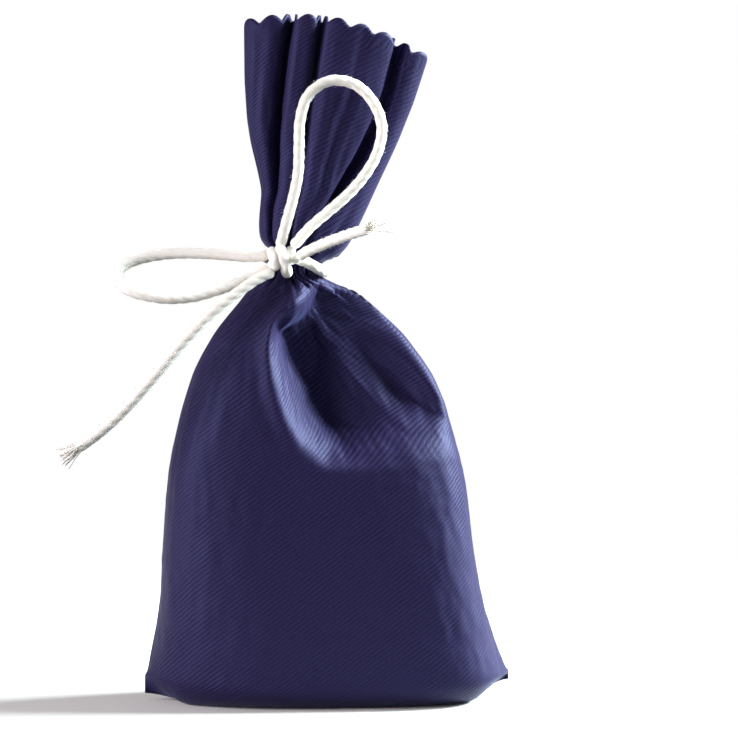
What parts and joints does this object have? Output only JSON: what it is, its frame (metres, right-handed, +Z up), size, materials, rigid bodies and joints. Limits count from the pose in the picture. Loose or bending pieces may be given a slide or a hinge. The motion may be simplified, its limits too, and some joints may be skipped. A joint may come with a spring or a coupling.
{
  "type": "lavender sachet",
  "caption": "Upright twill pouch filled with dried lavender, pinked in scallops at its top edge and tied at the neck with a cotton cord bow, for scenting drawers and wardrobes.",
  "frame": {"origin": "middle of the bag's box at the floor that it stands on", "axes": "+Z up, towards the scalloped edge; -Y out of the front, where the bow is; +X to the right seen from the front"},
  "size_m": [0.1173, 0.065, 0.1708],
  "materials": {
    "twill": "indigo cotton twill with a soft sheen",
    "thread": "indigo sewing thread",
    "cord": "natural cotton cord, matt and slightly fuzzy",
    "lavender": "dried lavender buds, matt"
  },
  "bodies": {
    "bag": {"front_panel": "twill", "back_panel": "twill", "left_seam_thread": "thread", "right_seam_thread": "thread", "bottom_seam_thread": "thread", "lavender_fill": "lavender", "neck_wrap": "cord", "bow_knot": "cord"},
    "upper_loop": {"upper_loop": "cord"},
    "side_loop": {"side_loop": "cord"},
    "long_tail": {"long_tail": "cord"},
    "short_tail": {"short_tail": "cord"}
  },
  "joints": [
    {"name": "upper_loop_tip", "type": "hinge", "parent": "bag", "child": "upper_loop", "pos_m": [-0.01069, -0.00985, 0.1144], "axis": [1, 0, 0], "range_deg": [0, 50]},
    {"name": "side_loop_swing", "type": "hinge", "parent": "bag", "child": "side_loop", "pos_m": [-0.01504, -0.00875, 0.11075], "axis": [0, 0, 1], "range_deg": [-25, 5]},
    {"name": "long_tail_swing", "type": "hinge", "parent": "bag", "child": "long_tail", "pos_m": [-0.01384, -0.01215, 0.1085], "axis": [0, 0, 1], "range_deg": [0, 60]},
    {"name": "short_tail_swing", "type": "hinge", "parent": "bag", "child": "short_tail", "pos_m": [-0.00774, -0.01135, 0.1119], "axis": [0, 0, 1], "range_deg": [-45, 15]}
  ]
}
